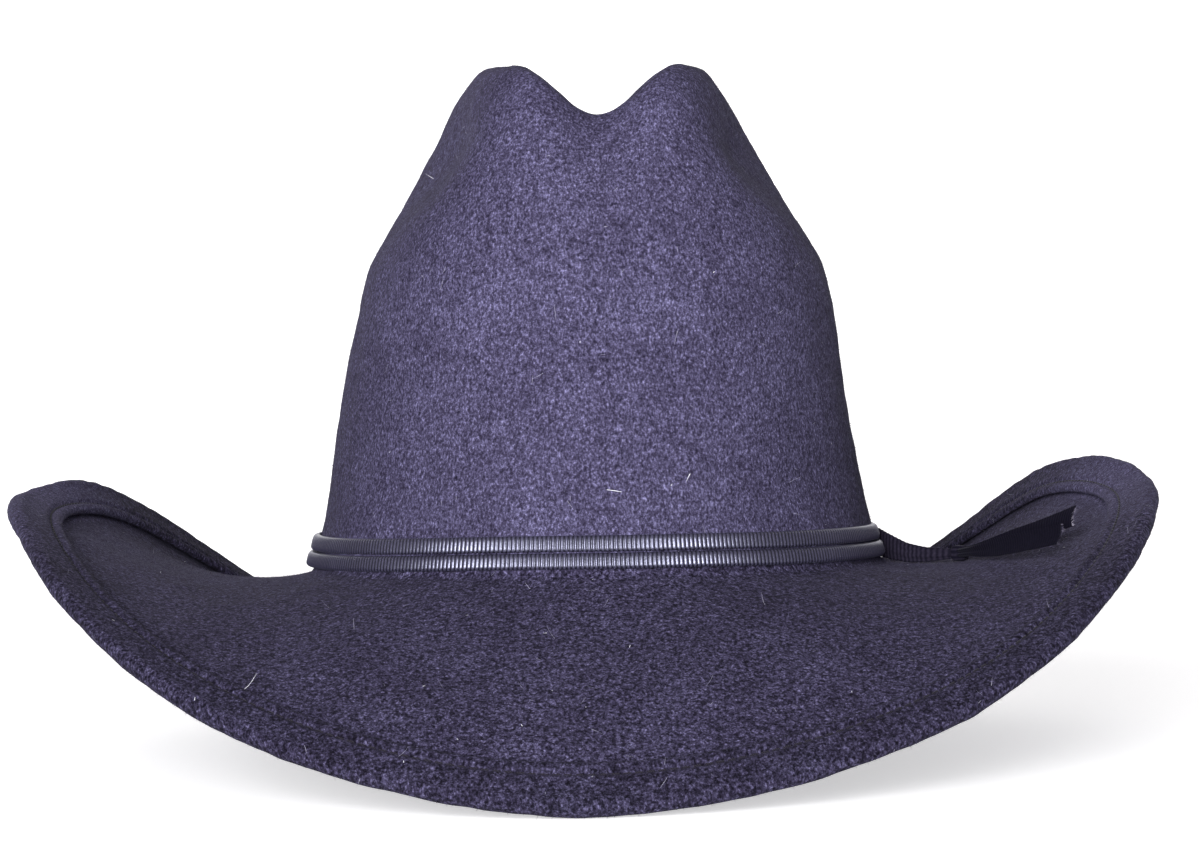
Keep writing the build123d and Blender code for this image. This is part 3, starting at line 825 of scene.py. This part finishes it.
def ribbon_tier(name, node, tier, materials):
    """One tier of the band: a ribbon folded to a flat roll, with its cross ribs."""
    bottom, top, proud = tier
    half_width, half_length, _ = oval_size((bottom + top) / 2)
    girth = np.pi * (half_width + half_length + 2 * proud)
    ribs = int(girth / RIB_PITCH)
    t = full_turn(ribs * 8)
    ridge = (0.5 - 0.5 * np.cos(ribs * t)) ** 0.7
    rows = []
    ridges = []
    for a in np.linspace(0, np.pi, 19):
        rounded = math.copysign(abs(math.cos(a)) ** TIER_ROUNDING, math.cos(a))
        height = (bottom + top) / 2 - (top - bottom - TIER_GROOVE) / 2 * rounded
        bulge = TIER_INSET + (proud - TIER_INSET) * math.sin(a) ** TIER_FULLNESS
        ring = oval(t, height, bulge + RIB_DEPTH * math.sin(a) ** 0.4 * (ridge - 1))
        ring[:, 2] += band_dip(t) + ripple(ring, 70, 0.12, seed=21)
        rows.append(ring)
        ridges.append(ridge)
    # Each tier's fold against the felt has no rib value, so it is painted near black as shade.
    for part, offset in TIER_FOLD:
        ring = oval(t, bottom + (top - bottom) * part, offset)
        ring[:, 2] += band_dip(t)
        rows.append(ring)
        ridges.append(0 * t)
    piece = grid_piece(name, np.stack(rows), materials["ribbon"], close_rows=True)
    mark_points(piece, "ridge", np.stack(ridges))
    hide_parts(node)


def band_dip(t):
    """The band sits lower at the front and back than at the sides."""
    return -BAND_DIP * np.cos(2 * t)


def path_frames(points, count):
    """A smooth path through the points, with its direction at each step."""
    knots = np.linspace(0, 1, len(points))
    u = np.linspace(0, 1, count)
    fine = np.stack([np.interp(u, knots, points[:, k]) for k in range(3)], -1)
    kernel = np.ones(max(count // 8, 3))
    kernel /= kernel.sum()
    padded = np.pad(fine, ((len(kernel) // 2, len(kernel) // 2), (0, 0)), mode="reflect", reflect_type="odd")
    fine = np.stack([np.convolve(padded[:, k], kernel, "valid")[:count] for k in range(3)], -1)
    return u, fine, unit(np.gradient(fine, axis=0))


def neck_piece(materials):
    """The gathered ribbon from the band to the knot: soft pleats that tighten towards the knot."""
    steps = 145
    u, centre, way = path_frames(NECK_PATH, steps)
    side = unit(np.cross([0.0, 0.0, 1.0], way))
    height = np.interp(u, np.linspace(0, 1, len(NECK_HEIGHTS)), NECK_HEIGHTS)
    turn = full_turn(48)
    pleat = 1 + 0.16 * np.cos(7 * turn)[None] * smooth(u * 1.6)[:, None]
    wave = np.sin(u * 2 * np.pi * NECK_RIBS)
    rib = 1 + 0.018 * wave[:, None]
    up = np.cos(turn)[None] * height[:, None] / 2 * rib
    out = np.sin(turn)[None] * NECK_THICKNESS / 2 * pleat * rib
    points = centre[:, None] + up[..., None] * np.array([0, 0, 1.0]) + out[..., None] * side[:, None]
    piece = grid_piece("bow_neck_ribbon", points, materials["tail"])
    # The neck painted near black as shade, a little lighter on each rib.
    mark_points(piece, "ridge", np.repeat(NECK_PAINTED_SHADE + SHADE_CHANGE * wave, len(turn)))
    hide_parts("bow_neck")


def knot_piece(materials):
    """The short ribbon wrap that pinches the bow."""
    way = BOW_KNOT - NECK_PATH[-2]
    way = np.array((way[0], way[1], 0.0)) / np.hypot(way[0], way[1])
    side = np.cross([0.0, 0.0, 1.0], way)
    turn = full_turn(120)
    section = full_turn(18)
    rows = []
    for a in section:
        along = KNOT_HALF_LENGTH * np.sign(math.cos(a)) * abs(math.cos(a)) ** 0.5
        swell = 0.25 * (1 - (along / 2.4) ** 2)
        rib = 0.07 * np.sin(KNOT_RIBS * turn) if math.sin(a) > 0 else 0 * turn
        radius = KNOT_RADIUS + 0.45 * math.sin(a) + swell + rib
        up = np.sign(np.cos(turn)) * np.abs(np.cos(turn)) ** 0.8 * radius
        out = np.sign(np.sin(turn)) * np.abs(np.sin(turn)) ** 0.8 * radius
        rows.append(BOW_KNOT + way * along + up[:, None] * np.array([0, 0, 1.0]) + out[:, None] * side)
    piece = grid_piece("bow_knot_wrap", np.stack(rows), materials["tail"], close_rows=True)
    # The knot painted near black as shade, a little lighter on each rib.
    shade = KNOT_PAINTED_SHADE + SHADE_CHANGE * np.sin(KNOT_RIBS * turn)
    mark_points(piece, "ridge", np.tile(shade, len(section)))
    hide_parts("bow_knot")


def tail_piece(node, plan, materials):
    """A ribbon tail standing on edge: pleated at the knot, opening to its full width, cut on a slant."""
    end = np.array(plan["end"])
    way = end - BOW_KNOT
    length = np.linalg.norm(way)
    way /= length
    side = np.cross([0.0, 0.0, 1.0], way)
    side /= np.linalg.norm(side)
    up = np.cross(way, side)
    ribs = int((length - TAIL_START) / TAIL_RIB_PITCH)
    steps = ribs * 7 + 1
    across = np.linspace(-1, 1, 25)
    s = np.linspace(0, 1, steps)[:, None]
    open_up = smooth(s * TAIL_OPENING)
    half = TAIL_ROOT_HALF + (plan["width"] / 2 - TAIL_ROOT_HALF) * open_up
    slant = TAIL_SLANT * across[None] * smooth((s - 0.5) * 2)
    pleat = (1 - open_up) * TAIL_PLEAT * (0.5 - 0.5 * np.cos(2 * np.pi * across[None]))
    cup = TAIL_CUP * open_up * across[None] ** 2 * plan["side"]
    sweep = TAIL_SWEEP * np.sin(np.pi * s) * plan["side"]
    ridge = np.abs(np.sin(ribs * np.pi * s)) ** 0.8
    offset = plan["side"] * (TAIL_SIDE_STEP + pleat) + cup + sweep
    run = TAIL_START + (length - TAIL_START) * s + slant
    sag = -TAIL_SAG * np.sin(np.pi * s)
    middle = (BOW_KNOT + run[..., None] * way + offset[..., None] * side
              + (half * across[None] + sag)[..., None] * up)
    thick = (RIBBON_THICKNESS / 2 + TAIL_RIB * ridge)[..., None] * side
    front = middle + thick
    back = (middle - thick)[:, ::-1]
    points = np.concatenate([front, back], 1)
    rows, columns = points.shape[:2]
    cap = np.arange(columns // 2 - 1)
    ends = []
    for row in (0, rows - 1):
        start = row * columns
        far = start + columns - 1 - cap
        quads = np.stack([start + cap, start + cap + 1, far - 1, far], -1)
        ends.append(quads if row else quads[:, ::-1])
    faces = np.concatenate([grid_faces(rows, columns), *ends])
    piece = make_piece(node + "_ribbon", points.reshape(-1, 3), faces, materials["tail"], None)
    # The tail painted darker as shade, lightest on its ribs.
    mark_points(piece, "ridge", np.repeat(ridge[:, 0] * TAIL_PAINTED_SHADE, columns))
    fray_tail(node, plan, middle[-1], way, side, materials)
    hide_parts(node)
    start = BOW_KNOT + way * TAIL_START
    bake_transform(piece)


def fray_tail(node, plan, edge, way, side, materials):
    """Short loose thread ends along a tail's cut edge."""
    count = FRAYED_THREADS
    rng = np.random.default_rng(31 + len(node))
    place = rng.uniform(0, len(edge) - 1.001, count)
    low = place.astype(int)
    part = (place - low)[:, None]
    aside = side * rng.uniform(-0.2, 0.2, (count, 1)) - way * 0.5
    roots = edge[low] * (1 - part) + edge[low + 1] * part + aside
    ways = unit(way + rng.normal(size=(count, 3)) * 0.22)
    length = rng.uniform(0.8, 1.7, count)
    curl = rng.uniform(-0.3, 0.3, count)
    points, faces = fibres(roots, ways, np.tile(side, (count, 1)), length, LINT_WIDTH, curl)
    piece = make_piece(node + "_frayed_end", points, faces, materials["fray"], plan["body"])
    # The plain value: no painted shade.
    mark_points(piece, "nap_and_painted_shade", np.full(len(points), PAINTED_SHADE_NONE))


# --- inside the hat ----------------------------------------------------------

def sweatband_piece(materials):
    """The leather sweatband, with a rounded top edge and a pressed line near each edge."""
    t = full_turn(420)
    low, high = SWEATBAND["bottom"], SWEATBAND["top"]
    offset, thick = SWEATBAND["offset"], SWEATBAND["thickness"]
    heights = np.concatenate([np.linspace(low, high - 6, 14), np.linspace(high - 5.4, high - 0.5, 14)])
    rows = []
    for z in heights:
        pressed = 0.3 * math.exp(-(((z - high + 3.4) / 0.5) ** 2))
        pressed += 0.22 * math.exp(-(((z - low - 3.1) / 0.6) ** 2))
        wave = ripple(oval(t, z, 0.0), 40, 0.12 * (z - low) / (high - low), seed=41)
        rows.append(oval(t, z, wave - offset - thick + pressed))
    for a in np.radians((25, 60, 90, 120, 155)):
        rows.append(oval(t, high - 0.5 + 0.5 * math.sin(a), -offset - thick / 2 - thick / 2 * math.cos(a)))
    rows += [oval(t, z, -offset) for z in np.linspace(high - 0.8, low, 10)]
    piece = grid_piece("sweatband_leather", np.stack(rows), materials["leather"], close_rows=True)
    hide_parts("sweatband")


def lining_wall(materials):
    """The satin wall of the lining, softly gathered towards its tip."""
    t = full_turn(720)
    heights = np.linspace(LINING_LEVELS[0, 0], LINING_LEVELS[-1, 0], 60)
    inner = []
    outer = []
    for z in heights:
        depth = np.interp(z, LINING_LEVELS[:, 0], LINING_LEVELS[:, 1])
        rise = smooth((z - LINING_GATHER_START) / LINING_GATHER_RISE)
        folds = np.sin(LINING_FOLDS * t + 1.2 * np.sin(3 * t)) + 0.5 * np.sin(31 * t + 1.0)
        sag = 0.5 * rise * np.sin(7 * t + 0.05 * z)
        offset = -depth - LINING_GATHER * rise + 0.55 * rise * folds + sag
        outer.append(oval(t, z, offset))
        inner.append(oval(t, z, offset - LINING_THICKNESS))
    rows = np.stack(inner + outer[::-1])
    piece = grid_piece("lining_wall_satin", rows, materials["satin"], close_rows=True)
    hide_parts("lining_side")


def lining_top(materials):
    """The oval satin tip, slightly domed and puckered at its seam."""
    t = full_turn(720)
    height, depth = LINING_LEVELS[-1]
    shift = oval_size(height)[2]
    rim = oval(t, height, -depth - LINING_GATHER)
    centre = np.array((0.0, shift, height))
    under = []
    over = []
    for part in np.concatenate([np.geomspace(0.03, 0.8, 22), np.linspace(0.82, 1.0, 12)]):
        ring = centre + (rim - centre) * part
        pucker = 0.35 * smooth((part - 0.72) / 0.28) * np.sin(LINING_FOLDS * t + 0.6)
        dome = TIP_DOME * (1 - part ** 2) + ripple(ring, 26, 0.22, seed=51) * (1 - part ** 4)
        ring = ring + np.stack([0 * t, 0 * t, dome + pucker + 0.2], -1)
        under.append(ring)
        over.append(ring + np.array((0, 0, LINING_THICKNESS)))
    piece = grid_piece("lining_tip_satin", np.stack(under + over[::-1]), materials["satin"])
    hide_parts("lining_tip")


def ribbon_strip(centre, width_way, width, thickness=0.4):
    """Front and back faces of a ribbon that follows a path."""
    way = unit(np.gradient(centre, axis=0))
    out = unit(np.cross(way, width_way))
    across = np.linspace(-0.5, 0.5, 7)[None, :, None] * width
    rib = (0.06 * np.abs(np.sin(np.arange(len(centre)) * np.pi / 4)))[:, None, None]
    face = centre[:, None] + across * np.asarray(width_way)[None, None]
    front = face + out[:, None] * (thickness / 2 + rib)
    back = face - out[:, None] * (thickness / 2 + rib)
    return np.concatenate([front, back[:, ::-1]], 1)


def bow_loop(middle, side):
    """One loop of the little bow."""
    a = np.linspace(0, 2 * np.pi, 90)
    x = side * (6.0 - 6.0 * np.cos(a)) * 0.9
    y = 1.0 * np.sin(a) * np.sin(a / 2)
    z = 0.6 * np.sin(a / 2)
    return ribbon_strip(middle + np.stack([x, y, z], -1), (0.0, 0.0, 1.0), 5.0)


def bow_end(middle, side):
    """One hanging end of the little bow."""
    drop = np.linspace(0, 1, 50)
    path = np.stack([side * (0.8 + 6.5 * drop), -0.5 + 0 * drop, -1.0 - 7.5 * drop], -1)
    return ribbon_strip(middle + path, (0.75, 0.0, side * 0.66), 4.6)


def bow_wrap(middle):
    """The ribbon round the little bow's middle."""
    turn = full_turn(60)
    rows = []
    for b in full_turn(14):
        x = 2.0 * np.cos(b) + 0 * turn
        y = 1.7 * np.cos(turn) * (1 + 0.15 * np.sin(b))
        z = 2.9 * np.sin(turn) * (1 + 0.12 * np.sin(b))
        rows.append(middle + np.stack([x, y, z], -1))
    return np.stack(rows)


def inner_bow(materials):
    """The little ribbon bow over the sweatband's back seam: two loops, two ends and a centre wrap."""
    depth = SWEATBAND["offset"] + SWEATBAND["thickness"] + INNER_BOW_GAP
    middle = oval(np.pi / 2, INNER_BOW_HEIGHT, -depth)
    grids = [shape(middle, side) for side in (-1, 1) for shape in (bow_loop, bow_end)] + [bow_wrap(middle)]
    faces = []
    count = 0
    for grid in grids:
        closed = grid is grids[-1]
        faces.append(grid_faces(*grid.shape[:2], close_rows=closed) + count)
        count += grid.shape[0] * grid.shape[1]
    points = np.concatenate([grid.reshape(-1, 3) for grid in grids])
    piece = make_piece("sweatband_bow_ribbon", points, np.concatenate(faces), materials["ribbon"])
    mark_points(piece, "ridge", np.full(len(points), 0.5))
    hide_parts("sweatband_bow")


def paint_cad_nodes(materials):
    """Finishes for the pieces that stay as the frame has them."""
    finishes = {
        "brim_wire": "steel",
        "brim_wire_ferrule": "brass",
        "sweatband_reed": "reed",
        "sweatband_reed_tape": "tape",
        "sweatband_stitching": "pale_thread",
        "sweatband_back_seam": "pale_thread",
        "lining_tip_stitching": "thread",
    }
    for node, finish in finishes.items():
        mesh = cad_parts[node].data
        mesh.materials.clear()
        mesh.materials.append(materials[finish])


# --- stage, light and camera -------------------------------------------------

def build_stage(material):
    """A pale paper sweep: floor, a round bend and a wall behind."""
    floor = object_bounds()[0][2] / MM - STAGE_GAP
    bend = np.linspace(0, np.pi / 2, 24)[1:]
    level = np.linspace(STAGE_FRONT, STAGE_BACK, 8)
    depth = np.concatenate([level, STAGE_BACK + STAGE_BEND * np.sin(bend), [STAGE_BACK + STAGE_BEND]])
    rise = np.concatenate([0 * level, STAGE_BEND * (1 - np.cos(bend)), [STAGE_TOP]])
    across = np.linspace(-STAGE_HALF_WIDTH, STAGE_HALF_WIDTH, 9)
    x, y = np.meshgrid(across, depth)
    points = np.stack([x, y, floor + np.repeat(rise[:, None], len(across), 1)], -1)
    sweep = grid_piece("studio_sweep", points, material, None, close_columns=False)
    sweep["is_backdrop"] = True


def area_light(name, place, target, size, power):
    """A soft square light aimed at a point."""
    data = bpy.data.lights.new(name, "AREA")
    data.size = size
    data.energy = power
    light = bpy.data.objects.new(name, data)
    light.location = place
    light.rotation_euler = (Vector(target) - Vector(place)).to_track_quat("-Z", "Y").to_euler()
    bpy.context.scene.collection.objects.link(light)


def build_light():
    """A broad key in front, low and a little to the left, and a dim pale surround."""
    world = bpy.data.worlds.new("studio")
    world.use_nodes = True
    surround = world.node_tree.nodes["Background"]
    surround.inputs["Color"].default_value = SURROUND_COLOUR
    surround.inputs["Strength"].default_value = SURROUND_STRENGTH
    bpy.context.scene.world = world
    area_light("key", KEY_PLACE, KEY_TARGET, KEY_SIZE, KEY_POWER)


def build_camera():
    """The camera in front of the hat, nearly level with the band, rolled a little."""
    data = bpy.data.cameras.new("camera")
    data.lens = CAMERA_LENS
    data.sensor_width = 36.0
    data.clip_end = 20.0
    camera = bpy.data.objects.new("camera", data)
    bpy.context.scene.collection.objects.link(camera)
    place = Vector((CAMERA_SIDE, -CAMERA_DISTANCE, CAMERA_HEIGHT)) * MM
    way = Vector((0.0, CAMERA_DISTANCE, CAMERA_TARGET - CAMERA_HEIGHT)).normalized()
    turn = way.to_track_quat("-Z", "Y").to_matrix().to_4x4()
    roll = Matrix.Rotation(-math.radians(CAMERA_ROLL), 4, "Z")
    camera.matrix_world = Matrix.Translation(place) @ turn @ roll
    bpy.context.scene.camera = camera


def main():
    materials = {
        "felt": felt_material(),
        "nap_and_painted_shade": fibre_material("felt_nap_fibres", (0.008, 0.007, 0.013), (0.1, 0.094, 0.16)),
        "stray": fibre_material("stray_wool_fibres", (0.12, 0.115, 0.17), (0.34, 0.33, 0.42)),
        "lint": fibre_material("pale_lint", (0.35, 0.35, 0.42), (0.75, 0.75, 0.8)),
        "fray": fibre_material("frayed_thread_ends", (0.04, 0.036, 0.06), (0.32, 0.3, 0.38)),
        "ribbon": ribbon_material("grosgrain_ribbon", (0.034, 0.032, 0.056), 1.0, 0.37),
        # The bow's ribbon: the same grosgrain, its ridge colour a little darker as painted shade, and rough
        # with little gloss.
        "tail": ribbon_material("grosgrain_tail", (0.032, 0.027, 0.045), 0.08, 0.9),
        "thread": thread_material("dark_thread", (0.003, 0.002, 0.005), (0.012, 0.01, 0.018)),
        "pale_thread": thread_material("tan_thread", (0.12, 0.08, 0.05), (0.26, 0.19, 0.13)),
        "leather": leather_material(),
        "satin": satin_material(),
        "tape": tape_material(),
        "reed": plain_material("reed_plastic", [(0.5, 0.47, 0.38), (0.62, 0.59, 0.5)], 0.35, 0.0, 120),
        "steel": plain_material("spring_wire", [(0.42, 0.42, 0.44), (0.6, 0.6, 0.62)], 0.3, 1.0, 300),
        "brass": plain_material("ferrule_brass", [(0.55, 0.38, 0.14), (0.72, 0.54, 0.24)], 0.35, 1.0, 300),
    }
    build_stage(stage_material())
    skin = felt_piece(materials)
    nap_piece(skin, materials)
    lint_piece(skin, materials)
    stray_piece(skin, materials)
    edge_stitching(materials)
    ribbon_tier("band_tier_lower", "band_ribbon_lower", TIER_LOWER, materials)
    ribbon_tier("band_tier_upper", "band_ribbon_upper", TIER_UPPER, materials)
    neck_piece(materials)
    knot_piece(materials)
    for node, plan in TAILS.items():
        tail_piece(node, plan, materials)
    sweatband_piece(materials)
    lining_wall(materials)
    lining_top(materials)
    inner_bow(materials)
    paint_cad_nodes(materials)
    build_light()
    build_camera()
    bpy.context.scene.view_settings.view_transform = "Standard"


main()
